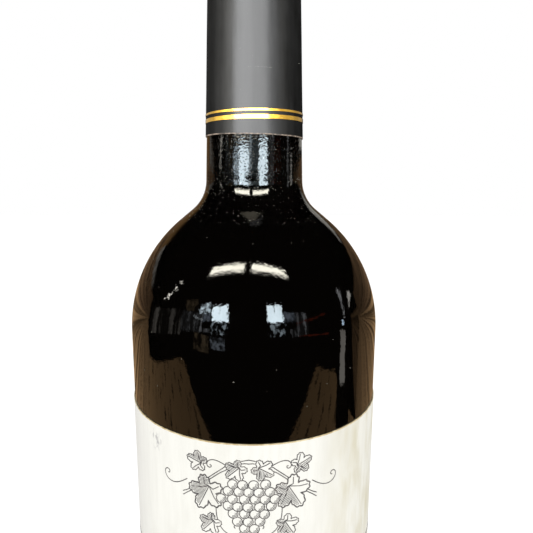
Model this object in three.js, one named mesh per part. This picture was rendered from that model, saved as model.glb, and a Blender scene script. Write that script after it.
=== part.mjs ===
// A sealed 750 ml wine bottle of the high-shouldered, claret kind: dark glass, a foil
// capsule with two gold bands over the neck, and a paper label wrapped round the body.
// Millimetres, +Z up, the front of the label towards -Y, the foot standing on z = 0.
// The glass is too dark to see into, so glass, wine and cork are one solid.
import * as THREE from "three";

// Driving dimensions of the glass
const BODY_R = 38; // the body is 76 mm across
const GLASS_TOP = 300; // height of the mouth
const SHOULDER_Z = 185.5; // where the straight body ends
const SHOULDER_R = 42.4; // radius of the round shoulder, seen from the side
const FILLET_R = 11.5; // radius of the hollow curve between shoulder and neck
const FILLET_Z = 230.2; // where the neck begins
const NECK_R = 14.6; // neck radius there
const NECK_TAPER = 0.029; // radius lost for each millimetre of height
const RING_R = 14.75; // the ring round the mouth
const RING_LOW_Z = 287.5;
const RING_HIGH_Z = 298.6;
const RING_SLOPE = 3.2; // height of the slope under the ring
const RING_EDGE = 0.4; // bevel of the ring's two edges
const MOUTH_R = 13.6;
const HEEL_R = 6; // round edge between the body and the foot
const FOOT_INNER_R = 29.4; // the foot is a flat ring from here out to the heel
const PUNT_RIM_R = 2.4; // round edge between the foot and the hollow in the base
const PUNT_DEPTH = 27; // height of that hollow

// Driving dimensions of the capsule, its bands and the label
const SKIN_GAP = 0.05; // between a skin and the glass
const FOIL = 0.25; // thickness of the capsule
const CAPSULE_LOW_Z = 242.4;
const CAPSULE_SWELL_Z = 282; // where the capsule starts to widen over the ring
const CAPSULE_EDGE_R = 1.4; // round edge of the capsule's top
const BANDS = [
  { name: "gold_band_wide", low: 246.6, high: 247.73 },
  { name: "gold_band_thin", low: 248.66, high: 249.27 },
];
const BAND_GAP = 0.02; // between a band and the capsule
const BAND_THICKNESS = 0.08;
const LABEL_TOP_Z = 164.6;
const LABEL_HEIGHT = 106;
const LABEL_THICKNESS = 0.25;
const LABEL_SPAN_DEG = 330; // its two ends leave a strip of glass at the back

// Fineness of the faceted surfaces
const SEGMENTS = 72; // steps round the axis, the same for every piece
const CHORD_ERROR = 0.05; // how far a facet may lie inside its curve
const SWELL_STEPS = 6;

const point = (r, z) => new THREE.Vector2(r, z);

// Points of a circle in a profile, whose x is the radius and whose y is the height.
// Angle 0 points away from the axis and 90 points up.
function arc(centreR, centreZ, radius, fromDeg, toDeg) {
  const turn = THREE.MathUtils.degToRad(toDeg - fromDeg);
  const largestStep = 2 * Math.acos(1 - CHORD_ERROR / radius);
  const steps = Math.ceil(Math.abs(turn) / largestStep);
  return Array.from({ length: steps + 1 }, (_, i) => {
    const angle = THREE.MathUtils.degToRad(fromDeg) + (turn * i) / steps;
    return point(centreR + radius * Math.cos(angle), centreZ + radius * Math.sin(angle));
  });
}

// The slope at which one straight line touches both the shoulder and the fillet.
function tangentDeg() {
  const across = NECK_R + FILLET_R - (BODY_R - SHOULDER_R);
  const up = FILLET_Z - SHOULDER_Z;
  const lean = Math.acos((SHOULDER_R + FILLET_R) / Math.hypot(across, up));
  return THREE.MathUtils.radToDeg(Math.atan2(up, across) - lean);
}

const neckRadius = (z) => NECK_R - NECK_TAPER * (z - FILLET_Z);

// The hollow in the base: a dome on the axis, then the round edge down to the foot.
function puntProfile() {
  const domeR = FOOT_INNER_R - PUNT_RIM_R;
  const stretch = (PUNT_DEPTH - PUNT_RIM_R) / domeR;
  const dome = arc(0, 0, domeR, 90, 0).map((p) => point(p.x, PUNT_RIM_R + p.y * stretch));
  const rim = arc(FOOT_INNER_R, PUNT_RIM_R, PUNT_RIM_R, 180, 270);
  return [...dome, ...rim.slice(1)];
}

// The top of the neck, the ring that strengthens it, and the mouth.
function mouthProfile() {
  const slopeLowZ = RING_LOW_Z - RING_SLOPE;
  return [
    point(neckRadius(slopeLowZ), slopeLowZ),
    point(RING_R - RING_EDGE, RING_LOW_Z - RING_EDGE),
    point(RING_R, RING_LOW_Z + RING_EDGE),
    point(RING_R, RING_HIGH_Z - RING_EDGE),
    point(RING_R - RING_EDGE, RING_HIGH_Z),
    point(MOUTH_R, GLASS_TOP),
    point(0, GLASS_TOP),
  ];
}

function bottleProfile() {
  const touch = tangentDeg();
  return [
    ...puntProfile(),
    ...arc(BODY_R - HEEL_R, HEEL_R, HEEL_R, 270, 360),
    ...arc(BODY_R - SHOULDER_R, SHOULDER_Z, SHOULDER_R, 0, touch),
    ...arc(NECK_R + FILLET_R, FILLET_Z, FILLET_R, 180 + touch, 180),
    ...mouthProfile(),
  ];
}

// Inner radius of the capsule, which follows the neck and then swells over the ring.
function capsuleInnerRadius(z) {
  const swell = THREE.MathUtils.smoothstep(z, CAPSULE_SWELL_Z, RING_LOW_Z);
  return THREE.MathUtils.lerp(neckRadius(Math.min(z, RING_LOW_Z)), RING_R, swell) + SKIN_GAP;
}

// A cup upside down, from the inside of its top, down, and up the outside.
function capsuleProfile() {
  const heights = [CAPSULE_LOW_Z];
  for (let i = 0; i <= SWELL_STEPS; i++) {
    heights.push(THREE.MathUtils.lerp(CAPSULE_SWELL_Z, RING_LOW_Z, i / SWELL_STEPS));
  }
  const innerTop = GLASS_TOP + SKIN_GAP;
  const outerTop = innerTop + FOIL;
  const edgeCentreR = RING_R + SKIN_GAP + FOIL - CAPSULE_EDGE_R;
  const inside = heights.map((z) => point(capsuleInnerRadius(z), z)).reverse();
  const outside = heights.map((z) => point(capsuleInnerRadius(z) + FOIL, z));
  return [
    point(0, innerTop),
    point(MOUTH_R + SKIN_GAP, innerTop),
    point(RING_R + SKIN_GAP, RING_HIGH_Z),
    ...inside,
    ...outside,
    ...arc(edgeCentreR, outerTop - CAPSULE_EDGE_R, CAPSULE_EDGE_R, 0, 90),
    point(0, outerTop),
  ];
}

// A thin ring that lies on the capsule between two heights.
function bandProfile({ low, high }) {
  const inner = (z) => capsuleInnerRadius(z) + FOIL + BAND_GAP;
  return [
    point(inner(low), low),
    point(inner(low) + BAND_THICKNESS, low),
    point(inner(high) + BAND_THICKNESS, high),
    point(inner(high), high),
    point(inner(low), low),
  ];
}

// A profile turned round the vertical axis, with its first step at the front.
function turned(profile) {
  return new THREE.LatheGeometry(profile, SEGMENTS).rotateX(Math.PI / 2);
}

// The label: a sector of a thin ring, on the same steps as the glass behind it.
function labelGeometry() {
  const innerR = BODY_R + SKIN_GAP;
  const steps = Math.round((LABEL_SPAN_DEG / 360) * SEGMENTS);
  const along = (radius) =>
    Array.from({ length: steps + 1 }, (_, i) => {
      const angle = (i - steps / 2) * ((2 * Math.PI) / SEGMENTS);
      return point(radius * Math.sin(angle), -radius * Math.cos(angle));
    });
  const outline = [...along(innerR + LABEL_THICKNESS), ...along(innerR).reverse()];
  return new THREE.ExtrudeGeometry(new THREE.Shape(outline), {
    depth: LABEL_HEIGHT,
    bevelEnabled: false,
  }).translate(0, 0, LABEL_TOP_Z - LABEL_HEIGHT);
}

const glass = new THREE.MeshStandardMaterial({
  color: new THREE.Color(0.012, 0.009, 0.006),
  roughness: 0.04,
  metalness: 0,
});
const foil = new THREE.MeshStandardMaterial({
  color: new THREE.Color(0.035, 0.035, 0.036),
  roughness: 0.45,
  metalness: 0.1,
});
const gold = new THREE.MeshStandardMaterial({
  color: new THREE.Color(0.72, 0.42, 0.09),
  roughness: 0.25,
  metalness: 1,
});
const paper = new THREE.MeshStandardMaterial({
  color: new THREE.Color(0.84, 0.81, 0.7),
  roughness: 0.8,
  metalness: 0,
});

function named(name, geometry, material) {
  const mesh = new THREE.Mesh(geometry, material);
  mesh.name = name;
  return mesh;
}

const wineBottle = new THREE.Group();
wineBottle.add(
  named("bottle", turned(bottleProfile()), glass),
  named("capsule", turned(capsuleProfile()), foil),
  ...BANDS.map((band) => named(band.name, turned(bandProfile(band)), gold)),
  named("label", labelGeometry(), paper),
);

export default wineBottle;
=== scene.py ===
# The looks of a sealed wine bottle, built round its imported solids: dark glass, a satin foil
# capsule with two gold bands, and a paper label printed with a vine.
# Metres, +Z up, the front of the label towards -Y.
import math
import random

import bpy
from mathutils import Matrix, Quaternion, Vector, noise


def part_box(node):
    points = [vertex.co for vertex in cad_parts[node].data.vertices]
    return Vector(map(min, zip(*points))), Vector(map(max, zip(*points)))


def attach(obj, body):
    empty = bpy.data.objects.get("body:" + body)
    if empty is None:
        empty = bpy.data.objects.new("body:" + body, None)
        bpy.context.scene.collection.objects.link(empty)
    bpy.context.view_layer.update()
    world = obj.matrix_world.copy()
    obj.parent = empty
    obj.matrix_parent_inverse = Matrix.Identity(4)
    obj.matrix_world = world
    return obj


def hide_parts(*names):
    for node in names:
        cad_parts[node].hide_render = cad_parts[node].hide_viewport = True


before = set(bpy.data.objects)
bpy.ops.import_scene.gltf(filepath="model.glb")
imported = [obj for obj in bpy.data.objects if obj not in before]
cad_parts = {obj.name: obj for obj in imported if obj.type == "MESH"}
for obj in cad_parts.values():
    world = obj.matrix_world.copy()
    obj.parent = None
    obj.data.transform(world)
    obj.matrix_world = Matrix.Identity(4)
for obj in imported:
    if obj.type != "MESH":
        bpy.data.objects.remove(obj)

MM = 0.001
TAU = 2 * math.pi
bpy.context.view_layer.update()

# Places read from the frame
BOTTLE_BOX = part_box("bottle")
CAPSULE_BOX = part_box("capsule")
LABEL_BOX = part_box("label")
BODY_R = BOTTLE_BOX[1].x
GLASS_TOP = BOTTLE_BOX[1].z
CAPSULE_LOW_Z = CAPSULE_BOX[0].z
CAPSULE_TOP_Z = CAPSULE_BOX[1].z
LABEL_LOW_Z = LABEL_BOX[0].z
LABEL_TOP_Z = LABEL_BOX[1].z

# Outline of the glass, the same as in the solids
SHOULDER_Z = 185.5 * MM
SHOULDER_R = 42.4 * MM
FILLET_R = 11.5 * MM
FILLET_Z = 230.2 * MM
NECK_R = 14.6 * MM
NECK_TAPER = 0.029
RING_R = 14.75 * MM
RING_LOW_Z = 287.5 * MM
RING_HIGH_Z = 298.6 * MM
MOUTH_R = 13.6 * MM
HEEL_R = 6 * MM
FOOT_INNER_R = 29.4 * MM
PUNT_RIM_R = 2.4 * MM
PUNT_DEPTH = 27 * MM

# Skins on the glass
SKIN_GAP = 0.05 * MM
FOIL = 0.25 * MM
CAPSULE_SWELL_Z = 282 * MM
CAPSULE_EDGE_R = 1.4 * MM
BAND_GAP = 0.02 * MM
BAND_THICKNESS = 0.08 * MM
LABEL_THICKNESS = 0.25 * MM
LABEL_SPAN = math.radians(330)

# Relief and finish
EDGE_SKEW = 0.24 * MM  # the capsule's lower edge hangs lower on the right by this
EDGE_WAVE = 0.07 * MM
BAND_SKEW = 0.2 * MM  # the gold bands hang lower on the left by this
CUT_EDGE = 0.3 * MM  # height of the foil's pale lower edge
TOP_RING_R = 10.5 * MM  # a groove pressed in the capsule's top
TOP_RING_DEPTH = 0.14 * MM
TOP_RING_HALF = 0.9 * MM  # from the groove's middle to its side
LAP_STEP = 0.06 * MM  # step of the foil's lap, at the back
LAP_WIDTH = 6 * MM
FOIL_DENTS = 0.03 * MM
LABEL_RIM = 0.32 * MM  # height of the label's golden edge
INK = 0.03 * MM  # thickness of the printed lines
PAPER_WAVE = 0.012 * MM
GLASS_WAVE = 0.04 * MM  # unevenness of the moulded glass
KNURLS = 72  # small ridges round the foot
KNURL_DEPTH = 0.25 * MM
LABEL_R = BODY_R + SKIN_GAP + LABEL_THICKNESS
PAPER_R = LABEL_R - INK  # the paper lies lower than the ink that stands on it

# Fineness of the meshes
GLASS_STEPS = 288
FOIL_STEPS = 288
GLASS_ROW = 2.2 * MM
FOIL_ROW = 0.9 * MM
LABEL_COLUMN = math.radians(1.25)
LABEL_ROW = 2 * MM
SHARP_ANGLE = math.radians(38)


def lerp(a, b, t):
    return a + (b - a) * t


def smoothstep(low, high, x):
    t = min(1.0, max(0.0, (x - low) / (high - low)))
    return t * t * (3 - 2 * t)


def wave(angle, z, length, seed):
    """Smooth random value from about -1 to 1 on a wall, whose bumps are about that long."""
    across = BODY_R / length
    place = Vector((math.sin(angle) * across, math.cos(angle) * across, z / length + seed))
    return noise.noise(place)


# Profiles: lists of (radius, height)


def line(start, end, step):
    count = max(1, math.ceil(math.dist(start, end) / step))
    return [(lerp(start[0], end[0], i / count), lerp(start[1], end[1], i / count)) for i in range(count + 1)]


def arc(centre_r, centre_z, radius, from_angle, to_angle, step=1.0 * MM):
    count = max(4, math.ceil(abs(to_angle - from_angle) * radius / step))
    angles = [lerp(from_angle, to_angle, i / count) for i in range(count + 1)]
    return [(centre_r + radius * math.cos(a), centre_z + radius * math.sin(a)) for a in angles]


def joined(*stretches):
    """One profile from stretches that meet, each shared point kept once."""
    profile = []
    for point in (p for stretch in stretches for p in stretch):
        if not profile or math.dist(profile[-1], point) > 1e-3 * MM:
            profile.append(point)
    return profile


def neck_radius(z):
    return NECK_R - NECK_TAPER * (z - FILLET_Z)


def shoulder_slope():
    """Angle at which one straight line touches both the shoulder and the fillet."""
    across = NECK_R + FILLET_R - (BODY_R - SHOULDER_R)
    up = FILLET_Z - SHOULDER_Z
    return math.atan2(up, across) - math.acos((SHOULDER_R + FILLET_R) / math.hypot(across, up))


def glass_profile():
    dome_r = FOOT_INNER_R - PUNT_RIM_R
    stretch = (PUNT_DEPTH - PUNT_RIM_R) / dome_r
    dome = [(r, PUNT_RIM_R + z * stretch) for r, z in arc(0, 0, dome_r, math.pi / 2, 0)]
    dome[0] = (0, PUNT_DEPTH)
    slope = shoulder_slope()
    foot = line((FOOT_INNER_R, 0), (BODY_R - HEEL_R, 0), 0.6 * MM)
    shoulder = arc(BODY_R - SHOULDER_R, SHOULDER_Z, SHOULDER_R, 0, slope)
    fillet = arc(NECK_R + FILLET_R, FILLET_Z, FILLET_R, math.pi + slope, math.pi, 0.5 * MM)
    return joined(
        dome,
        arc(FOOT_INNER_R, PUNT_RIM_R, PUNT_RIM_R, math.pi, 1.5 * math.pi, 0.5 * MM),
        foot,
        arc(BODY_R - HEEL_R, HEEL_R, HEEL_R, -math.pi / 2, 0),
        line((BODY_R, HEEL_R), (BODY_R, SHOULDER_Z), GLASS_ROW),
        shoulder,
        line(shoulder[-1], fillet[0], GLASS_ROW),
        fillet,
        line(fillet[-1], (neck_radius(RING_LOW_Z), RING_LOW_Z), GLASS_ROW),
        [(RING_R, RING_LOW_Z + SKIN_GAP), (RING_R, RING_HIGH_Z), (MOUTH_R, GLASS_TOP), (0, GLASS_TOP)],
    )


def capsule_inner_radius(z):
    swell = smoothstep(CAPSULE_SWELL_Z, RING_LOW_Z, z)
    return lerp(neck_radius(min(z, RING_LOW_Z)), RING_R, swell) + SKIN_GAP


def capsule_profile():
    inner_top = GLASS_TOP + SKIN_GAP
    shoulder_z = CAPSULE_TOP_Z - CAPSULE_EDGE_R
    heights = [z for _, z in line((0, CAPSULE_LOW_Z), (0, shoulder_z), FOIL_ROW)]
    inside = [z for z in heights if z < RING_HIGH_Z]
    edge_centre_r = RING_R + SKIN_GAP + FOIL - CAPSULE_EDGE_R
    cut = capsule_inner_radius(CAPSULE_LOW_Z) + FOIL
    return joined(
        [(0, inner_top), (MOUTH_R + SKIN_GAP, inner_top), (RING_R + SKIN_GAP, RING_HIGH_Z)],
        [(capsule_inner_radius(z), z) for z in reversed(inside)],
        [(cut, CAPSULE_LOW_Z), (cut, CAPSULE_LOW_Z + CUT_EDGE)],
        [(capsule_inner_radius(z) + FOIL, z) for z in heights[1:]],
        arc(edge_centre_r, shoulder_z, CAPSULE_EDGE_R, 0, math.pi / 2, 0.2 * MM),
        line((edge_centre_r, CAPSULE_TOP_Z), (0, CAPSULE_TOP_Z), FOIL_ROW),
    )


def band_profile(low, high):
    inner = capsule_inner_radius(low) + FOIL + BAND_GAP
    lean = capsule_inner_radius(high) - capsule_inner_radius(low)
    outer = inner + BAND_THICKNESS
    bevel = 0.02 * MM
    return [
        (inner, low),
        (outer - bevel, low),
        (outer, low + bevel),
        (outer + lean, high - bevel),
        (outer + lean - bevel, high),
        (inner + lean, high),
    ]


# Meshes


def new_object(name, data):
    """An object in the scene that shows a mesh, a lamp or a camera."""
    made = bpy.data.objects.new(name, data)
    bpy.context.scene.collection.objects.link(made)
    return made


def make_piece(name, verts, faces, replaced=()):
    mesh = bpy.data.meshes.new(name)
    mesh.from_pydata(verts, [], faces)
    mesh.validate()
    mesh.shade_smooth()
    mesh.set_sharp_from_angle(angle=SHARP_ANGLE)
    piece = new_object(name, mesh)
    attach(piece, "root")
    if replaced:
        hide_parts(*replaced)
    return piece


def turned(profile, steps, shift=lambda angle, r, z: (r, z), loop=False):
    """Vertices and faces of a profile turned round Z. Angle 0 is the front and grows towards +X."""
    verts, rings = [], []
    for r, z in profile:
        start = len(verts)
        if r == 0:
            verts.append((0, 0, z))
            rings.append([start] * steps)
            continue
        for i in range(steps):
            angle = TAU * i / steps
            moved_r, moved_z = shift(angle, r, z)
            verts.append((moved_r * math.sin(angle), -moved_r * math.cos(angle), moved_z))
        rings.append(list(range(start, start + steps)))
    faces = []
    pairs = list(zip(rings, rings[1:] + rings[:1]))
    for low, high in pairs if loop else pairs[:-1]:
        for i in range(steps):
            j = (i + 1) % steps
            corners = [low[i], low[j], high[j], high[i]]
            faces.append(list(dict.fromkeys(corners)))
    return verts, faces


# Materials

IOR = 1.5  # of glass, lacquer, ink and paper alike
SCUFF = (-27 * MM, -27 * MM, 160 * MM)  # a grey mark on the label's left
RAY_WIDTH = 0.06  # how far the noise may be from its middle value on a line
RAY_FINENESS = 23
RAY_DIM, RAY_BRIGHT = 0.3, 1.1  # shares of a card's radiance on a line and off it
FADE_POWER = 2.4


class Nodes:
    """One material with its shader, and short calls for the nodes that vary it."""

    def __init__(self, name, colour, roughness, metallic=0.0):
        self.material = bpy.data.materials.new(name)
        self.material.use_nodes = True
        self.tree = self.material.node_tree
        self.set("Base Color", (*colour, 1))
        self.set("Roughness", roughness)
        self.set("Metallic", metallic)
        self.set("IOR", IOR)

    def set(self, name, value):
        """Give an input of the shader a plain value or the output of a node."""
        self.give(value, self.tree.nodes["Principled BSDF"].inputs[name])

    def add(self, kind, **values):
        node = self.tree.nodes.new(kind)
        for key, value in values.items():
            if hasattr(node, key):
                setattr(node, key, value)
            else:
                self.give(value, node.inputs[key.replace("_", " ")])
        return node

    def give(self, value, socket):
        if isinstance(value, bpy.types.NodeSocket):
            self.tree.links.new(value, socket)
        else:
            socket.default_value = value

    def place(self, stretch=(1, 1, 1), lean=0.0):
        """The point on the object, in metres, stretched for a grain that runs one way."""
        coord = self.add("ShaderNodeTexCoord").outputs["Object"]
        mapping = self.add("ShaderNodeMapping", Vector=coord, Rotation=(0, lean, 0), Scale=stretch)
        return mapping.outputs["Vector"]

    def noise(self, size, stretch=(1, 1, 1), detail=2.0, roughness=0.5, lean=0.0):
        """Noise from 0 to 1 whose bumps are about size metres long."""
        where = self.place(stretch, lean)
        values = {"Vector": where, "Scale": 1 / size, "Detail": detail, "Roughness": roughness}
        return self.add("ShaderNodeTexNoise", **values).outputs["Fac"]

    def rays(self, centre):
        """Thin straight lines, 0 on a line and 1 off it, that run from x and z centre on a card."""
        along = self.math("ABSOLUTE", self.math("SUBTRACT", self.axis("X"), centre[0] * MM))
        up = self.math("SUBTRACT", self.axis("Z"), centre[1] * MM)
        turn = self.math("MULTIPLY", self.math("ARCTAN2", up, along), RAY_FINENESS)
        where = self.add("ShaderNodeCombineXYZ", X=turn)
        node = self.add("ShaderNodeTexNoise", Vector=where.outputs["Vector"], Scale=1, Detail=2)
        off_line = self.math("ABSOLUTE", self.math("SUBTRACT", node.outputs["Fac"], 0.5))
        return self.span(off_line, 0, RAY_WIDTH, 0, 1)

    def span(self, value, from_low, from_high, to_low, to_high, smooth=False):
        """A value mapped from one range to another, and kept within it."""
        ends = {"From_Min": from_low, "From_Max": from_high, "To_Min": to_low, "To_Max": to_high}
        easing = "SMOOTHSTEP" if smooth else "LINEAR"
        node = self.add("ShaderNodeMapRange", interpolation_type=easing, Value=value, **ends)
        return node.outputs["Result"]

    def math(self, operation, first, second=0.0):
        node = self.add("ShaderNodeMath", operation=operation)
        self.give(first, node.inputs[0])
        self.give(second, node.inputs[1])
        return node.outputs[0]

    def mix(self, factor, first, second):
        node = self.add("ShaderNodeMix", data_type="RGBA")
        self.give(factor, node.inputs[0])
        self.give(first, node.inputs[6])
        self.give(second, node.inputs[7])
        return node.outputs[2]

    def axis(self, name):
        node = self.add("ShaderNodeSeparateXYZ", Vector=self.place())
        return node.outputs[name]

    def distance(self, centre):
        node = self.add("ShaderNodeVectorMath", operation="DISTANCE")
        self.give(self.place(), node.inputs[0])
        self.give(centre, node.inputs[1])
        return node.outputs["Value"]

    def fade(self, across, up):
        """1 in the middle of a card and 0 at its sides; across and up are the shares that stay 1."""
        corner = self.add("ShaderNodeTexCoord").outputs["UV"]
        split = self.add("ShaderNodeSeparateXYZ", Vector=corner)
        level = 1.0
        for name, share in (("X", across), ("Y", up)):
            off = self.math("ABSOLUTE", self.math("SUBTRACT", split.outputs[name], 0.5))
            level = self.math("MULTIPLY", self.span(off, share / 2, 0.5, 1, 0, smooth=True), level)
        return level

    def vary(self, level, low, high, first, second, roughness):
        """Lead colour and roughness from one end to the other as a value goes from low to high."""
        self.set("Base Color", self.mix(self.span(level, low, high, 0, 1), (*first, 1), (*second, 1)))
        self.set("Roughness", self.span(level, low, high, *roughness))

    def bump(self, height, depth, normal=None):
        node = self.add("ShaderNodeBump", Distance=depth, Height=height)
        if normal is not None:
            self.give(normal, node.inputs["Normal"])
        return node.outputs["Normal"]


def glass_material():
    """Nearly black glass: glossy, slightly wavy, and pebbled on the neck, with a mould seam."""
    n = Nodes("dark_glass", (0.0012, 0.0009, 0.0007), 0.02)
    on_neck = n.span(n.axis("Z"), 226 * MM, 233 * MM, 0, 1, smooth=True)
    on_shoulder = n.span(n.axis("Z"), 186 * MM, 210 * MM, 0.3, 1, smooth=True)
    pits = n.span(n.noise(0.5 * MM, detail=0), 0.24, 0.33, 0, 0.8, smooth=True)
    ripples = n.noise(0.75 * MM, stretch=(0.8, 0.8, 1.2), detail=1)
    pebbles = n.math("MULTIPLY", n.math("ADD", pits, ripples), on_neck)
    orange_peel = n.math("MULTIPLY", n.noise(1.05 * MM, detail=1), on_shoulder)
    seam = n.span(n.math("ABSOLUTE", n.axis("Y")), 0, 0.35 * MM, 1, 0, smooth=True)
    normal = n.bump(n.noise(10 * MM, detail=1), 0.03 * MM)
    normal = n.bump(orange_peel, 0.02 * MM, normal)
    speckle = n.math("MULTIPLY", n.noise(0.28 * MM, detail=0), on_shoulder)
    normal = n.bump(speckle, 0.005 * MM, normal)
    normal = n.bump(seam, 0.04 * MM, normal)
    normal = n.bump(pebbles, 0.04 * MM, normal)
    n.set("Normal", normal)
    smear = n.noise(14 * MM, stretch=(1, 1, 0.4), detail=3)
    n.set("Roughness", n.span(smear, 0.35, 0.75, 0.01, 0.035))
    return n.material


def foil_material():
    """Satin dark grey foil with faint upright streaks and slanting rubs."""
    n = Nodes("foil_capsule", (0.012, 0.012, 0.012), 0.36)
    streaks = n.noise(1.1 * MM, stretch=(1, 1, 0.05), detail=3)
    blotches = n.noise(6 * MM, detail=3)
    rubs = n.noise(2.5 * MM, stretch=(1, 1, 0.35), detail=4, lean=0.5)
    tone = n.math("ADD", n.math("MULTIPLY", streaks, 0.55), n.math("MULTIPLY", blotches, 0.45))
    shade = n.mix(n.span(tone, 0.35, 0.65, 0, 1), (0.008, 0.008, 0.0075, 1), (0.017, 0.017, 0.0167, 1))
    n.set("Base Color", shade)
    rough = n.math("ADD", n.span(tone, 0.35, 0.65, 0.29, 0.35), n.span(rubs, 0.55, 0.75, 0, 0.06))
    n.set("Roughness", rough)
    relief = n.bump(rubs, 0.03 * MM, n.bump(blotches, 0.05 * MM))
    n.set("Normal", n.bump(streaks, 0.016 * MM, relief))
    return n.material


def foil_edge_material():
    """The cut edge of the foil, where its pale core shows."""
    n = Nodes("foil_edge", (0.34, 0.27, 0.2), 0.6)
    wear = n.noise(1.2 * MM, detail=3)
    n.vary(wear, 0.4, 0.62, (0.1, 0.078, 0.06), (0.42, 0.32, 0.24), (0.5, 0.7))
    n.set("Normal", n.bump(wear, 0.03 * MM))
    return n.material


def gold_material():
    """Hot-stamped gold under a clear lacquer, a little rubbed."""
    n = Nodes("gold_foil", (0.95, 0.55, 0.06), 0.24, metallic=1.0)
    n.set("Coat Weight", 0.45)
    n.set("Coat Roughness", 0.2)
    rub = n.noise(1.2 * MM, stretch=(1, 1, 3), detail=3)
    colour = n.mix(n.span(rub, 0.35, 0.7, 0, 1), (0.9, 0.5, 0.05, 1), (0.98, 0.6, 0.085, 1))
    n.set("Base Color", colour)
    n.set("Roughness", n.span(rub, 0.3, 0.7, 0.2, 0.28))
    n.set("Normal", n.bump(rub, 0.004 * MM))
    return n.material


def paper_material():
    """Off-white label paper: upright fibres, yellow stains on the right, one grey scuff, and painted shade
    greying its left edge.
    """
    n = Nodes("label_paper", (0.93, 0.91, 0.84), 0.75)
    fibres = n.noise(1.6 * MM, stretch=(1, 1, 0.1), detail=4, roughness=0.6)
    clouds = n.noise(12 * MM, stretch=(1, 1, 0.5), detail=3)
    stains = n.noise(5 * MM, stretch=(1, 1, 0.28), detail=4)
    clean = n.mix(n.span(fibres, 0.3, 0.6, 0, 1), (0.85, 0.84, 0.785, 1), (0.9, 0.89, 0.835, 1))
    shaded = n.mix(n.span(clouds, 0.5, 0.72, 0, 0.7), clean, (0.78, 0.765, 0.7, 1))
    # Painted shade: the paper turns grey towards its left edge, as if less light fell there.
    left = n.span(n.axis("X"), -37 * MM, -26 * MM, 0.75, 0, smooth=True)
    toned = n.mix(left, shaded, (0.79, 0.775, 0.735, 1))
    right = n.span(n.axis("X"), 14 * MM, 30 * MM, 0, 1, smooth=True)
    front = n.span(n.axis("Y"), -20 * MM, 5 * MM, 1, 0.25, smooth=True)
    where = n.math("MULTIPLY", right, front)
    stained = n.math("MULTIPLY", n.span(stains, 0.42, 0.66, 0.2, 1), where)
    worn = n.mix(stained, toned, (0.7, 0.66, 0.52, 1))
    scuff = n.span(n.distance(SCUFF), 0.6 * MM, 4 * MM, 1, 0, smooth=True)
    marks = n.span(n.noise(1.0 * MM, stretch=(1, 1, 0.6), detail=3), 0.5, 0.66, 0, 0.75)
    scuffed = n.mix(n.math("MULTIPLY", scuff, marks), worn, (0.4, 0.39, 0.39, 1))
    n.set("Base Color", scuffed)
    n.set("Roughness", n.span(stains, 0.4, 0.66, 0.7, 0.82))
    grain = n.noise(0.35 * MM, detail=2)
    n.set("Normal", n.bump(grain, 0.01 * MM, n.bump(fibres, 0.015 * MM)))
    return n.material


def paper_edge_material():
    """The label's rim, toned like old gold."""
    n = Nodes("label_edge", (0.72, 0.58, 0.33), 0.6)
    wear = n.noise(1.5 * MM, detail=3)
    n.vary(wear, 0.38, 0.62, (0.6, 0.46, 0.24), (0.84, 0.72, 0.47), (0.5, 0.7))
    return n.material


def ink_material():
    """Grey printing ink, thinner in places."""
    n = Nodes("label_ink", (0.11, 0.1, 0.1), 0.6)
    cover = n.noise(2.5 * MM, detail=3)
    n.vary(cover, 0.35, 0.7, (0.07, 0.065, 0.07), (0.22, 0.2, 0.19), (0.5, 0.7))
    n.set("Normal", n.bump(n.noise(0.3 * MM), 0.005 * MM))
    return n.material


def dust_material():
    n = Nodes("dust", (0.88, 0.86, 0.8), 0.9)
    tone = n.noise(3 * MM, detail=1)
    n.vary(tone, 0.35, 0.65, (0.6, 0.58, 0.52), (0.95, 0.94, 0.9), (0.8, 0.95))
    return n.material


def glow(name, colour, radiance, grain=None, fade=None, rays_from=None):
    """A light card's material: it shines evenly, in a grain, in rays, or fades out to its sides.

    A grain is given by the size and stretch of its bumps, the two values of noise between which
    it goes from dim to bright, and the share that the dim parts shine.
    """
    n = Nodes(name, (0, 0, 0), 1.0)
    n.set("Specular IOR Level", 0)
    n.set("Emission Color", (*colour, 1))
    n.set("Emission Strength", radiance)
    if grain:
        size, stretch, low, high, least = grain
        dense = n.span(n.noise(size, stretch=stretch, detail=3), low, high, least * radiance, radiance)
        n.set("Emission Strength", dense)
    if rays_from:
        dense = n.span(n.rays(rays_from), 0, 1, RAY_DIM * radiance, RAY_BRIGHT * radiance)
        n.set("Emission Strength", dense)
    if fade:
        level = n.math("POWER", n.fade(*fade), FADE_POWER)
        n.set("Emission Strength", n.math("MULTIPLY", level, radiance))
    return n.material


def clear_from_behind(material):
    """Let a card be seen only from the side on which its corners run anticlockwise."""
    nodes, links = material.node_tree.nodes, material.node_tree.links
    mixer = nodes.new("ShaderNodeMixShader")
    links.new(nodes.new("ShaderNodeNewGeometry").outputs["Backfacing"], mixer.inputs[0])
    links.new(nodes["Principled BSDF"].outputs[0], mixer.inputs[1])
    links.new(nodes.new("ShaderNodeBsdfTransparent").outputs[0], mixer.inputs[2])
    links.new(mixer.outputs[0], nodes["Material Output"].inputs["Surface"])
    return material


# Pieces


def glass_shift(angle, r, z):
    """The small unevenness of moulded glass, and the knurls under the foot."""
    flat_foot = z == 0 and FOOT_INNER_R + 0.5 * MM < r < BODY_R - HEEL_R - 0.2 * MM
    if flat_foot:
        return r, KNURL_DEPTH * max(0.0, math.sin(KNURLS * angle))
    if z < 1 * MM or r < 12 * MM:
        return r, z
    fade = smoothstep(0, 6 * MM, z)
    return r - fade * GLASS_WAVE * (1 + wave(angle, z, 30 * MM, 3.1)) / 2, z


def make_bottle():
    verts, faces = turned(glass_profile(), GLASS_STEPS, glass_shift)
    piece = make_piece("glass", verts, faces, ["bottle"])
    piece.data.materials.append(glass_material())
    return piece


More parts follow.
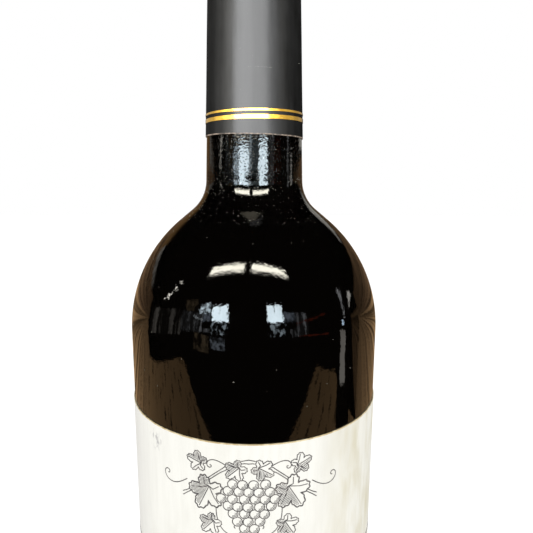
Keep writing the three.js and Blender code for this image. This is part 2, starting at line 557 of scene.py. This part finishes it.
def capsule_shift(angle, r, z):
    """The foil's dents, its lap, the ring pressed in its top and its uneven lower edge."""
    low = 1 - smoothstep(CAPSULE_LOW_Z + CUT_EDGE, CAPSULE_LOW_Z + 3 * MM, z)
    skew = -EDGE_SKEW * math.sin(angle) + EDGE_WAVE * wave(angle, 0, 8 * MM, 1.7)
    if r < 5 * MM:
        return r, z
    if z > CAPSULE_TOP_Z - 0.1 * MM:
        groove = 1 - smoothstep(0, TOP_RING_HALF, abs(r - TOP_RING_R))
        return r, z - TOP_RING_DEPTH * groove
    past_lap = (angle - math.pi) * r
    lap = LAP_STEP * (1 - smoothstep(0, LAP_WIDTH, past_lap)) if past_lap > 0 else 0
    dents = FOIL_DENTS * wave(angle, z, 12 * MM, 5.3)
    return r + dents + lap, z + low * skew


def make_capsule():
    """The foil cup, whose lowest faces show its cut edge."""
    profile = capsule_profile()
    verts, faces = turned(profile, FOIL_STEPS, capsule_shift)
    piece = make_piece("capsule_foil", verts, faces, ["capsule"])
    piece.data.materials.append(foil_material())
    piece.data.materials.append(foil_edge_material())
    for face in piece.data.polygons:
        row = face.index // FOIL_STEPS
        if max(profile[row][1], profile[row + 1][1]) < CAPSULE_LOW_Z + 1.1 * CUT_EDGE:
            face.material_index = 1
    return piece


def band_shift(angle, r, z):
    return r, z + BAND_SKEW * (math.sin(angle) - 0.5)


def make_band(node, material):
    low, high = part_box(node)
    verts, faces = turned(band_profile(low.z, high.z), FOIL_STEPS, band_shift, loop=True)
    piece = make_piece(node + "_foil", verts, faces, [node])
    piece.data.materials.append(material)
    return piece


def on_cylinder(radius, angle, z):
    return (radius * math.sin(angle), -radius * math.cos(angle), z)


def make_label():
    """The paper as a closed sheet: outer face, inner face and the four cut edges."""
    columns = round(LABEL_SPAN / LABEL_COLUMN)
    heights = [z for _, z in line((0, LABEL_LOW_Z), (0, LABEL_TOP_Z - LABEL_RIM), LABEL_ROW)]
    heights.append(LABEL_TOP_Z)
    rows = len(heights) - 1
    inner_r = BODY_R + SKIN_GAP
    verts = []
    for outside in (True, False):
        for z in heights:
            for i in range(columns + 1):
                angle = (i / columns - 0.5) * LABEL_SPAN
                uneven = PAPER_WAVE * (wave(angle, z, 14 * MM, 8.2) - 1)
                radius = PAPER_R + uneven if outside else inner_r
                verts.append(on_cylinder(radius, angle, z))
    back = (rows + 1) * (columns + 1)

    def at(i, j):
        return j * (columns + 1) + i

    faces, edges = [], []
    for j in range(rows):
        for i in range(columns):
            quad = [at(i, j), at(i + 1, j), at(i + 1, j + 1), at(i, j + 1)]
            (edges if j == rows - 1 else faces).append(quad)
            faces.append([back + v for v in reversed(quad)])
    for i in range(columns):
        edges.append([at(i, rows), at(i + 1, rows), back + at(i + 1, rows), back + at(i, rows)])
        edges.append([at(i + 1, 0), at(i, 0), back + at(i, 0), back + at(i + 1, 0)])
    for j in range(rows):
        edges.append([at(0, j), at(0, j + 1), back + at(0, j + 1), back + at(0, j)])
        edges.append([at(columns, j + 1), at(columns, j), back + at(columns, j), back + at(columns, j + 1)])
    piece = make_piece("label_sheet", verts, faces + edges, ["label"])
    piece.data.materials.append(paper_material())
    piece.data.materials.append(paper_edge_material())
    for face in list(piece.data.polygons)[len(faces):]:
        face.material_index = 1
    return piece


# The print: lines in millimetres, across from the label's middle and up from the foot

FINE, MEDIUM, BOLD = 0.15, 0.24, 0.36  # widths of the printed lines
PRINT_STEP = 0.3  # length of a piece of line
VINE_X, VINE_Y = -1.5, 157.0  # where the bunch hangs from the cane
RULES = ((121, BOLD), (119.8, FINE), (70.2, FINE), (69, BOLD))  # height and width of the long lines
LOZENGE_Y = 108
DIAMONDS_Y = 65.8


class Engraving:
    """A line drawing made from the front to the back, where each shape covers what comes later."""

    def __init__(self):
        self.strokes = []
        self.covers = []

    def draw(self, points, width, step=PRINT_STEP):
        run = []
        for start, end in zip(points, points[1:]):
            for point in line(start, end, step):
                if any(cover(*point) for cover in self.covers):
                    self.close_run(run, width)
                    run = []
                elif not run or run[-1] != point:
                    run.append(point)
        self.close_run(run, width)

    def close_run(self, run, width):
        if len(run) > 1:
            self.strokes.append((run, width))


def circle_points(x, y, radius, from_turn=0.0, to_turn=TAU):
    count = max(5, math.ceil(abs(to_turn - from_turn) * radius / PRINT_STEP))
    turns = [lerp(from_turn, to_turn, i / count) for i in range(count + 1)]
    return [(x + radius * math.cos(t), y + radius * math.sin(t)) for t in turns]


def draw_grape(art, x, y, radius):
    art.draw(circle_points(x, y, radius), MEDIUM)
    for inset in (0.72, 0.46):
        art.draw(circle_points(x, y, radius * inset, -1.9, 0.5), FINE)
    art.covers.append(lambda px, py: math.hypot(px - x, py - y) < radius)


def draw_bunch(art, x, top):
    radius = 1.3
    for row, count in enumerate((4, 5, 6, 5, 4, 3, 2, 1)):
        for i in range(count):
            sway = 0.25 * math.sin(5.1 * i + 2.3 * row)
            across = x + (i - (count - 1) / 2) * 2.15 * radius + sway
            draw_grape(art, across, top - row * 1.62 * radius + 0.4 * sway, radius)


def leaf_radius(turn):
    """Reach of a vine leaf of size 1, where turn 0 is its tip and half a turn its stem."""
    lobes = 0.52 + 0.48 * abs(math.cos(2.5 * turn)) ** 0.8
    teeth = 0.035 * math.cos(24 * turn)
    return lobes * (1 - 0.22 * abs(turn) / math.pi) + teeth


def draw_leaf(art, x, y, size, heading):
    """A leaf with its veins, hatched on one half. Heading 0 points up and grows clockwise."""

    def put(along, across):
        """A point given along the leaf's axis and across it, in sizes."""
        sin, cos = math.sin(heading), math.cos(heading)
        return (x + size * (along * sin + across * cos), y + size * (along * cos - across * sin))

    def inside(px, py, margin=1.0):
        dx, dy = px - x, py - y
        turn = math.remainder(math.atan2(dx, dy) - heading, TAU)
        return math.hypot(dx, dy) < margin * size * leaf_radius(turn)

    outline = []
    for i in range(121):
        turn = (i / 60 - 1) * math.pi
        reach = leaf_radius(turn)
        outline.append(put(reach * math.cos(turn), reach * math.sin(turn)))
    art.draw(outline, MEDIUM if size < 5 else BOLD)
    for lobe in (-2, -1, 0, 1, 2):
        turn = lobe * TAU / 5
        reach = 0.88 * leaf_radius(turn)
        tip = (reach * math.cos(turn), reach * math.sin(turn))
        middle = (-0.05 + 0.4 * tip[0], 0.55 * tip[1])
        art.draw([put(-0.32, 0), put(*middle), put(*tip)], MEDIUM)
    gap = 0.42 / size
    for k in range(-40, 41):
        run = []
        for step in range(60):
            across = step * PRINT_STEP / size
            point = put(k * gap + 0.5 * across, across)
            if inside(*point, margin=0.93) and across > 0.03:
                run.append(point)
        if len(run) > 1:
            art.draw([run[0], run[-1]], FINE)
    art.covers.append(inside)


def draw_tendril(art, x, y, size, heading, hand):
    """A stalk that curls into a spiral, to the right where hand is 1 and to the left where -1."""
    path = [(x, y)]
    for i in range(46):
        t = i / 45
        turn = heading + hand * 7.5 * t * t
        step = size * 0.075 * (1 - 0.82 * t)
        x, y = x + step * math.sin(turn), y + step * math.cos(turn)
        path.append((x, y))
    art.draw(path, MEDIUM)


def draw_cane(art, x, y):
    """The vine's woody stem, two lines that wind along the top of the drawing."""
    for side in (-1, 1):
        path = []
        for i in range(75):
            across = lerp(-18.5, 18.5, i / 74)
            up = 2.2 * math.cos(across / 5.2) - 0.022 * across * across
            knot = 0.16 * math.exp(-((math.remainder(across, 6.1) / 0.7) ** 2))
            path.append((x + across, y + up + side * (0.38 + knot)))
        art.draw(path, MEDIUM)


def diamond_points(x, y, across, up):
    return [(x - across, y), (x, y + up), (x + across, y), (x, y - up), (x - across, y)]


def draw_rules(art):
    """Plain rules round the label below the vine, a lozenge between them, and a row of diamonds."""
    half = 0.5 * LABEL_SPAN * LABEL_R / MM - 4
    for height, width in RULES:
        art.draw([(-half, height), (half, height)], width, step=0.8)
    for reach in (5, 4.2):
        art.draw(diamond_points(VINE_X, LOZENGE_Y, reach, 0.6 * reach), MEDIUM)
    for side in (-1, 1):
        art.draw([(VINE_X + side * 8, LOZENGE_Y), (VINE_X + side * 26, LOZENGE_Y)], FINE)
    for i in range(-20, 21):
        art.draw(diamond_points(5.0 * i, DIAMONDS_Y, 1, 1), FINE)


def draw_vine():
    art = Engraving()
    draw_leaf(art, VINE_X - 3.2, VINE_Y + 0.4, 3.4, -2.3)
    draw_leaf(art, VINE_X + 3.4, VINE_Y + 0.6, 3.4, 2.1)
    draw_bunch(art, VINE_X, VINE_Y - 3.6)
    draw_leaf(art, VINE_X - 11.3, VINE_Y - 6.6, 5.6, -2.7)
    draw_leaf(art, VINE_X + 11.3, VINE_Y - 6.2, 5.6, 2.6)
    draw_leaf(art, VINE_X - 13.6, VINE_Y + 1.4, 3.3, -1.3)
    draw_leaf(art, VINE_X + 13.6, VINE_Y + 1.2, 3.3, 1.2)
    draw_leaf(art, VINE_X - 10.2, VINE_Y - 15.6, 3.6, -2.4)
    draw_leaf(art, VINE_X + 10.0, VINE_Y - 15.6, 3.6, 2.6)
    draw_cane(art, VINE_X, VINE_Y + 0.6)
    for side in (-1, 1):
        draw_tendril(art, VINE_X + side * 17, VINE_Y - 4.4, 6.5, side * 2.2, -side)
        draw_tendril(art, VINE_X + side * 6, VINE_Y + 1.6, 4.2, side * 1.1, side)
        draw_tendril(art, VINE_X + side * 8.6, VINE_Y - 8, 9.5, side * 3.1, side)
    draw_rules(art)
    return art.strokes


def ribbon(points, width, verts, faces):
    """A printed line as a thin closed strip that lies on the paper."""
    start = len(verts)
    top, bottom = LABEL_R - 0.004 * MM, PAPER_R - INK
    for i, (x, y) in enumerate(points):
        before, after = points[max(0, i - 1)], points[min(len(points) - 1, i + 1)]
        along = Vector((after[0] - before[0], after[1] - before[1])).normalized()
        side = Vector((-along.y, along.x)) * width / 2
        left, right = (x + side.x, y + side.y), (x - side.x, y - side.y)
        for (across, up), radius in ((left, top), (right, top), (right, bottom), (left, bottom)):
            verts.append(on_cylinder(radius, across * MM / LABEL_R, up * MM))
    for i in range(start, len(verts) - 4, 4):
        for k in range(4):
            faces.append([i + k, i + (k + 1) % 4, i + 4 + (k + 1) % 4, i + 4 + k])
    last = len(verts) - 4
    faces.append([start + 3, start + 2, start + 1, start])
    faces.append([last, last + 1, last + 2, last + 3])


def make_ink():
    verts, faces = [], []
    for points, width in draw_vine():
        ribbon(points, width, verts, faces)
    piece = make_piece("label_print", verts, faces)
    piece.data.materials.append(ink_material())
    return piece


def radius_at(outline, z):
    """Radius of an outline, which runs upwards, at a height."""
    for low, high in zip(outline, outline[1:]):
        if low[1] <= z <= high[1]:
            return lerp(low[0], high[0], (z - low[1]) / (high[1] - low[1]))
    return BODY_R


def fleck(place, rng, verts, faces):
    """A tiny eight-sided crumb, longer one way, of random size and tilt."""
    start = len(verts)
    size = rng.choice((0.02, 0.025, 0.035, 0.055)) * MM
    axis = Vector((rng.uniform(-1, 1), rng.uniform(-1, 1), rng.uniform(-1, 1))).normalized()
    tilt = Quaternion(axis, rng.uniform(0, TAU))
    for tip in ((1, 0, 0), (0, 0.55, 0), (0, 0, 0.55)):
        for sign in (1, -1):
            verts.append(tuple(place + tilt @ (Vector(tip) * sign * size)))
    for x in (0, 1):
        for y in (2, 3):
            for z in (4, 5):
                faces.append([start + x, start + y, start + z])


# Low and high end of a band in millimetres, and how many flecks are strewn in it
DUST_BANDS = ((218, 231, 800), (206, 218, 110), (170, 206, 110), (231, 241, 120), (252, 296, 40))
DUST_TURN = math.radians(168)  # none at the very back, where it would leave the solids' box
SCRATCH_Z = 259.8 * MM  # a faint level scratch on the front of the capsule
SCRATCH_TURNS = (math.radians(-6), math.radians(20))
SCRATCH_FLECKS = 30


def make_dust():
    """Dust on the shoulder and neck, a few specks on the capsule, and the scratch's crumbs."""
    rng = random.Random(7)
    verts, faces = [], []
    outline = [(r, z) for r, z in glass_profile() if z > PUNT_DEPTH]
    for low, high, count in DUST_BANDS:
        for _ in range(count):
            z = rng.uniform(low, high) * MM
            angle = rng.uniform(-DUST_TURN, DUST_TURN)
            on_foil = z > CAPSULE_LOW_Z
            radius = capsule_inner_radius(z) + FOIL if on_foil else radius_at(outline, z)
            fleck(Vector(on_cylinder(radius, angle, z)), rng, verts, faces)
    for i in range(SCRATCH_FLECKS):
        angle = lerp(*SCRATCH_TURNS, i / SCRATCH_FLECKS)
        z = SCRATCH_Z + rng.uniform(-0.08, 0.08) * MM
        radius = capsule_inner_radius(z) + FOIL
        fleck(Vector(on_cylinder(radius, angle, z)), rng, verts, faces)
    piece = make_piece("dust", verts, faces)
    piece.data.materials.append(dust_material())
    return piece


# The camera, fitted to the photo
PHOTO_PX = 533  # the photo's width
FOCAL_PX = 483.6  # focal length in the photo's pixels
SENSOR = 36  # width in millimetres
CAMERA_PLACE = (0, -150.07 * MM, 230 * MM)
CAMERA_TURNS = (1.445, 10.1, 0.2)  # degrees to the right, downwards and about its own axis


def make_camera():
    """The photo's viewpoint: close in front, level with the shoulder's top, looking down."""
    camera_data = bpy.data.cameras.new("camera")
    camera_data.sensor_width = SENSOR
    camera_data.lens = SENSOR * FOCAL_PX / PHOTO_PX
    camera_data.clip_start = 0.01
    camera = new_object("camera", camera_data)
    camera.location = CAMERA_PLACE
    yaw, pitch, roll = (math.radians(turn) for turn in CAMERA_TURNS)
    forward = Vector((math.sin(yaw) * math.cos(pitch), math.cos(yaw) * math.cos(pitch), -math.sin(pitch)))
    camera.rotation_mode = "QUATERNION"
    camera.rotation_quaternion = forward.to_track_quat("-Z", "Y") @ Quaternion((0, 0, 1), roll)
    bpy.context.scene.camera = camera


def make_world():
    world = bpy.data.worlds.new("white_room")
    world.use_nodes = True
    background = world.node_tree.nodes["Background"]
    background.inputs["Color"].default_value = (1, 1, 1, 1)
    background.inputs["Strength"].default_value = 1.0
    world.cycles_visibility.glossy = False
    bpy.context.scene.world = world


def make_floor():
    mesh = bpy.data.meshes.new("floor")
    half = 3.0
    corners = [(-half, -half, 0), (half, -half, 0), (half, half, 0), (-half, half, 0)]
    mesh.from_pydata(corners, [], [(0, 1, 2, 3)])
    floor = new_object("floor", mesh)
    n = Nodes("floor", (0.93, 0.93, 0.92), 0.9)
    n.set("Specular IOR Level", 0)
    mesh.materials.append(n.material)
    floor.visible_glossy = False
    return floor


def receivers(name, pieces):
    group = bpy.data.collections.new(name)
    for piece in pieces:
        group.objects.link(piece)
    return group


def panel(name, centre, size, facing, colour, radiance, group, diffuse=False):
    """A rectangular light, seen only in reflections unless diffuse, that lights one group."""
    light = bpy.data.lights.new(name, "AREA")
    light.shape = "RECTANGLE"
    light.size, light.size_y = size
    light.color = colour
    light.energy = radiance * math.pi * size[0] * size[1]
    lamp = new_object(name, light)
    lamp.location = centre
    lamp.rotation_mode = "QUATERNION"
    lamp.rotation_quaternion = Vector(facing).to_track_quat("-Z", "Y")
    lamp.visible_camera = False
    lamp.visible_diffuse = diffuse
    lamp.light_linking.receiver_collection = group


# Places of the light cards, in millimetres
WINDOW_Y = -146  # the plane in which the shoulder sees the windows
FAR_Y = -400  # the plane in which the neck sees them
WALL_TOP = 243
LEDGE_TOP = 262
BOARDS_LEFT = (-505, 135)  # x and y of the ends and middle of the boards behind
BOARDS_MIDDLE = (-90, 103)
BOARDS_RIGHT = (330, 71)
JOINT_Z = 184  # height in the middle of the joint between the low and the high boards
TABLE_Z = 0.5  # just above the floor
SIDE_X = 300  # how far the cards at the sides stand from the axis


def flat(low, high):
    """Corners of an upright or level rectangle from two opposite corners."""
    (x0, y0, z0), (x1, y1, z1) = low, high
    if x0 == x1:
        return [(x0, y0, z0), (x0, y1, z0), (x0, y1, z1), (x0, y0, z1)]
    if y0 == y1:
        return [(x0, y0, z0), (x1, y0, z0), (x1, y0, z1), (x0, y0, z1)]
    return [(x0, y0, z0), (x1, y0, z0), (x1, y1, z0), (x0, y1, z0)]


def upright(start, end, low, high):
    """Corners of an upright rectangle that stands over a line from start to end."""
    return [(*start, low), (*end, low), (*end, high), (*start, high)]


def card(name, corners, material, group):
    """A shining card, corners in millimetres, that only shows as a reflection in one group."""
    mesh = bpy.data.meshes.new(name)
    mesh.from_pydata([tuple(c * MM for c in corner) for corner in corners], [], [(0, 1, 2, 3)])
    for corner, place in zip(mesh.uv_layers.new(name="UVMap").data, ((0, 0), (1, 0), (1, 1), (0, 1))):
        corner.uv = place
    mesh.materials.append(material)
    board = new_object(name, mesh)
    board.visible_camera = False
    board.visible_diffuse = False
    board.visible_shadow = False
    board.light_linking.receiver_collection = group


def make_windows(group, flag):
    """Two windows: near panes for the shoulder, far ones for the neck, flags between, and haze."""
    blue = (0.78, 0.92, 1.0)
    window = glow("window_glow", blue, 22, (30 * MM, (1, 1, 0.3), 0.3, 0.6, 0.8))
    panes = (
        ("left_low", -98, -56, 220, 231),
        ("left_outer", -101, -80, 232, 254),
        ("left_inner", -78.5, -58, 232, 254),
        ("right_low", 25, 54, 222, 231),
        ("right_inner", 26, 41, 232, 254),
        ("right_outer", 42.5, 58, 232, 254),
    )
    for name, x0, x1, z0, z1 in panes:
        card("window_" + name, flat((x0, WINDOW_Y, z0), (x1, WINDOW_Y, z1)), window, group)
    for name, x0, x1, z0, z1 in (("low", -130, 92, 204, 219), ("mid", -54, 23.5, 219, 239)):
        card("flag_" + name, flat((x0, WINDOW_Y, z0), (x1, WINDOW_Y, z1)), flag, group)
    haze = glow("haze_glow", (0.7, 0.82, 1.0), 1.6, (7 * MM, (1, 1, 0.5), 0.4, 0.62, 0.1))
    for name, x0, x1 in (("left", -130, -103), ("right", 59.5, 92)):
        card("haze_" + name, flat((x0, WINDOW_Y, 219), (x1, WINDOW_Y, 239)), haze, group)
    far_panes = (
        ("left", -282, -97, window),
        ("left_dim", -97, -48, glow("far_left_glow", blue, 7, (14 * MM, (1, 1, 0.4), 0.3, 0.6, 0.5))),
        ("middle", -48, 80, glow("far_mid_glow", blue, 1.0, (9 * MM, (1, 1, 0.8), 0.36, 0.62, 0.3))),
        ("right", 80, 232, window),
    )
    for name, x0, x1, material in far_panes:
        card("far_" + name, flat((x0, FAR_Y, 246), (x1, FAR_Y, 325)), material, group)


def make_clutter(group):
    """Small dim things beside and below the windows."""
    bits = glow("bits_glow", (0.75, 0.9, 1.0), 4, (8 * MM, (1, 1, 0.7), 0.5, 0.62, 0))
    bits_y = WINDOW_Y + 1
    card("bits_left", flat((-100, bits_y, 194), (-54, bits_y, 217)), bits, group)
    card("bits_right", flat((25, bits_y, 192), (64, bits_y, 219)), bits, group)
    bright = glow("bright_glow", (0.75, 0.9, 1.0), 16, (9 * MM, (1, 1, 0.7), 0.44, 0.6, 0.02))
    card("bits_side", flat((-152, bits_y, 238), (-108, bits_y, 262)), bright, group)
    pale = glow("low_glow", (0.75, 0.86, 1.0), 1.5, (9 * MM, (1, 1, 1), 0.44, 0.62, 0.05))
    card("bits_low", flat((-97, bits_y, 164), (-58, bits_y, 188)), pale, group)
    brown = glow("brown_glow", (1.0, 0.74, 0.45), 0.5, (16 * MM, (1, 1, 0.6), 0.42, 0.6, 0.05))
    card("bits_brown", flat((-165, bits_y, 150), (-102, bits_y, 190)), brown, group)
    leaning = [(-250, bits_y, 255), (-160, bits_y, 248), (-178, bits_y, 282), (-290, bits_y, 300)]
    card("bits_brown_high", leaning, brown, group)
    strips = glow("strips_glow", (0.9, 0.94, 1.0), 1.4, (26 * MM, (1, 1, 0.12), 0.5, 0.64, 0.05))
    far_y = FAR_Y - 5
    far_left = [(-1150, far_y, 150), (-285, far_y, 205), (-285, far_y, 318), (-1150, far_y, 420)]
    card("strips_left", far_left, strips, group)
    card("strips_right", flat((236, far_y, 180), (420, far_y, 330)), strips, group)
    dim = glow("dim_strips_glow", (1.0, 0.93, 0.84), 0.45, (21 * MM, (1, 1, 0.12), 0.5, 0.64, 0.03))
    side_x = -SIDE_X - 3
    side = [(side_x, -150, 165), (side_x, 50, 135), (side_x, 50, 205), (side_x, -150, 262)]
    card("strips_side", side, dim, group)
    row_y = FAR_Y + 5
    sparkle = glow("row_glow", (0.85, 0.95, 1.0), 9, (15 * MM, (1, 1, 1), 0.42, 0.56, 0.1))
    row = [(-560, row_y, 318), (-240, row_y, 240), (-240, row_y, 249), (-560, row_y, 324)]
    card("bits_row", row, sparkle, group)
    red = glow("red_glow", (1.0, 0.13, 0.04), 0.5)
    high = [(232, row_y, 249), (829, row_y, 333), (829, row_y, 344), (232, row_y, 256)]
    card("red_high", high, red, group)
    low = [(300, row_y, 180), (886, row_y, 112), (886, row_y, 124), (300, row_y, 187)]
    card("red_low", low, red, group)


def make_lamp(group):
    """A lamp of two tubes, a soft spot just in front of the neck, and small sparks far left."""
    tube = glow("tube_glow", (1.0, 0.96, 0.82), 25, fade=(0.88, 0.2))
    half = 16
    ends = {
        "left": ((-60, -62.3, 263.2), (-9.5, -66.8, 262)),
        "right": ((-6, -67.8, 263.5), (46.5, -75, 266.6)),
    }
    for name, ((x0, y0, z0), (x1, y1, z1)) in ends.items():
        corners = [(x0, y0, z0 - half), (x1, y1, z1 - half), (x1, y1, z1 + half), (x0, y0, z0 + half)]
        card("tube_" + name, corners, tube, group)
    spot = clear_from_behind(glow("spot_glow", (1.0, 0.9, 0.72), 0.8, fade=(0.6, 0.5)))
    card("spot", [(-7.5, -17, 226), (6, -17, 226), (1.5, -17, 260), (-4, -17, 260)], spot, group)
    spark = glow("spark_glow", (1.0, 0.96, 0.86), 15, (10 * MM, (1, 1, 1), 0.36, 0.52, 0.1))
    sparks = ((-17, 251, 3), (-36, 268, 5), (-46, 284, 5), (-58, 310, 4), (-72, 345, 4))
    for i, (y, z, reach) in enumerate(sparks):
        corners = flat((-SIDE_X, y - reach, z - reach), (-SIDE_X, y + reach, z + 2 * reach))
        card(f"spark_{i}", corners, spark, group)


def make_boards(group):
    """A warm table top, boards behind whose joints run to one point a side, and pale bands above."""
    knots = glow("knot_glow", (1.0, 0.61, 0.29), 0.54, (15 * MM, (0.2, 1, 1), 0.35, 0.42, 0.15))
    front = (BOARDS_RIGHT[0], -295)
    for name, outline in (
        ("table_left", ((BOARDS_LEFT[0], -240), front, BOARDS_RIGHT, BOARDS_LEFT)),
        ("table_right", (front, (405, -290), (455, -138), BOARDS_RIGHT)),
    ):
        card(name, [(*place, TABLE_Z) for place in outline], knots, group)
    # Side, upright end, height where its joints meet, radiance of the low and the high boards
    sides = (
        ("left", BOARDS_LEFT, 152, 0.53, 0.28),
        ("right", BOARDS_RIGHT, 170, 0.48, 0.23),
    )
    for side, end, meet, low_radiance, high_radiance in sides:
        meeting = (end[0] * 1.1, meet)
        low = glow(f"low_{side}_glow", (1.0, 0.61, 0.3), low_radiance, rays_from=meeting)
        corners = [(*end, TABLE_Z), (*BOARDS_MIDDLE, TABLE_Z), (*BOARDS_MIDDLE, JOINT_Z), (*end, meet + 3)]
        card(f"boards_low_{side}", corners, low, group)
        high = glow(f"high_{side}_glow", (1.0, 0.6, 0.32), high_radiance, rays_from=meeting)
        corners = [(*end, meet + 3), (*BOARDS_MIDDLE, JOINT_Z), (*BOARDS_MIDDLE, WALL_TOP), (*end, WALL_TOP)]
        card(f"boards_high_{side}", corners, high, group)
    dark = glow("dark_board_glow", (1.0, 0.6, 0.3), 0.22, rays_from=(1200, 170))
    card("boards_side", upright(BOARDS_RIGHT, (800, 35), TABLE_Z, 200), dark, group)
    ledge = glow("ledge_glow", (1.0, 0.94, 0.84), 0.42, (30 * MM, (1, 1, 1), 0.4, 0.6, 0.3))
    card("ledge_left", upright((-330, 121.6), (-130, 106.3), WALL_TOP, LEDGE_TOP), ledge, group)
    upper = glow("upper_glow", (1.0, 0.56, 0.22), 0.25, fade=(0.7, 0.2))
    card("upper_left", upright((-150, 108), (-20, 98), WALL_TOP - 30, WALL_TOP + 50), upper, group)
    band = glow("pale_band_glow", (1.0, 0.96, 0.86), 0.66, fade=(0.75, 0.5))
    wedge = [(40, 92.5, 244), (114, 87, 249), (114, 87, 257), (40, 92.5, 302)]
    card("pale_band", wedge, band, group)


def make_side_streaks(group, flag):
    """Pale upright streaks on the right, the black gap of the lowest one, and a strip behind."""
    pale = glow("pale_glow", (1.0, 0.95, 0.86), 1.5, (60 * MM, (1, 1, 1), 0.3, 0.6, 0.8))
    low = [(SIDE_X, -66, 56), (SIDE_X, -34, 58), (SIDE_X, -47, 161), (SIDE_X, -79, 168)]
    card("streak_low", low, pale, group)
    bright = glow("bright_streak_glow", (0.95, 0.97, 1.0), 2.2, (50 * MM, (1, 1, 1), 0.35, 0.6, 0.5))
    middle = [(SIDE_X, -43, 198), (SIDE_X, -38, 198), (SIDE_X, -25, 290), (SIDE_X, -40, 296)]
    card("streak_middle", middle, bright, group)
    soft = glow("soft_streak_glow", (1.0, 0.97, 0.9), 3.2, fade=(0.3, 0.7))
    high = [(SIDE_X, -13, 213), (SIDE_X, -6, 213), (SIDE_X, 52, 256), (SIDE_X, 14, 272)]
    card("streak_high", high, soft, group)
    glint = glow("glint_glow", (0.6, 0.8, 1.0), 9)
    card("glint", flat((SIDE_X, -60, 178), (SIDE_X, -49, 196)), glint, group)
    card("gap", flat((SIDE_X + 4, -84, 0), (SIDE_X + 4, 2, 240)), flag, group)
    card("back_strip", flat((-24, 88, 10), (24, 88, 290)), soft, group)


def make_glass_cards(group):
    flag = glow("flag", (0, 0, 0), 0)
    make_windows(group, flag)
    make_clutter(group)
    make_lamp(group)
    make_boards(group)
    make_side_streaks(group, flag)


# Lights in a ring round the capsule: azimuth and width in degrees, where 0 is the front and 90
# the right, then the radiance on the foil and on the gold
RING_LIGHTS = (
    (-23, 34, 8.5, 15),
    (11, 34, 7.0, 15),
    (-51, 22, 2.2, 3.0),
    (-75, 26, 0.6, 1.2),
    (-115, 50, 0.08, 0.55),
    (38, 20, 1.8, 1.7),
    (57, 18, 0.75, 0.75),
    (76, 20, 0.1, 0.6),
    (110, 50, 0.03, 0.38),
    (180, 30, 0.8, 0.55),
)
RING_LIGHT_R = 0.045  # nearer than the cards, which would hide the lights
RING_LIGHT_Z = 0.288
RING_LIGHT_HEIGHT = 0.1


def make_ring_lights(foil_group, gold_group):
    for azimuth, width, on_foil, on_gold in RING_LIGHTS:
        turn = math.radians(azimuth)
        centre = (RING_LIGHT_R * math.sin(turn), -RING_LIGHT_R * math.cos(turn), RING_LIGHT_Z)
        size = (2 * RING_LIGHT_R * math.tan(math.radians(width / 2)), RING_LIGHT_HEIGHT)
        facing = (-math.sin(turn), math.cos(turn), 0)
        colour = (0.98, 0.99, 1.0) if abs(azimuth) < 45 else (1.0, 0.98, 0.92)
        for name, radiance, group in (("foil", on_foil, foil_group), ("gold", on_gold, gold_group)):
            panel(f"{name}_light_{azimuth}", centre, size, facing, colour, radiance, group)
    panel("top_light", (0, 0.15, 0.8), (0.25, 0.25), (0, -0.3, -1), (1, 1, 1), 3.0, foil_group)


def make_dust_light(group):
    """A lamp in front that picks out the dust and nothing else."""
    warm = (1, 0.98, 0.92)
    panel("dust_light", (0.2, -0.5, 0.7), (0.3, 0.3), (-0.2, 0.5, -0.5), warm, 100, group, diffuse=True)


def make_label_light(group):
    """A soft light in front, so that the label is brighter there than at its sides."""
    warm = (1, 0.99, 0.96)
    panel("label_light", (0, -0.6, 0.3), (0.5, 0.3), (0, 1, -0.25), warm, 0.9, group, diffuse=True)


def make_floor_light(floor):
    """A broad light from above on the floor alone, which keeps it white under a soft shadow."""
    light = bpy.data.lights.new("floor_light", "SUN")
    light.energy = 0.75
    light.angle = math.radians(70)
    lamp = new_object("floor_light", light)
    lamp.light_linking.receiver_collection = receivers("floor_lit", [floor])


make_camera()
make_world()
floor = make_floor()
glass = make_bottle()
capsule = make_capsule()
gold = gold_material()
bands = [make_band(node, gold) for node in ("gold_band_wide", "gold_band_thin")]
label = make_label()
ink = make_ink()
dust = make_dust()
make_glass_cards(receivers("glass_lit", [glass]))
make_dust_light(receivers("dust_lit", [dust]))
make_ring_lights(receivers("foil_lit", [capsule]), receivers("gold_lit", bands))
make_label_light(receivers("label_lit", [label, ink]))
make_floor_light(floor)

bpy.context.scene.view_settings.view_transform = "Standard"
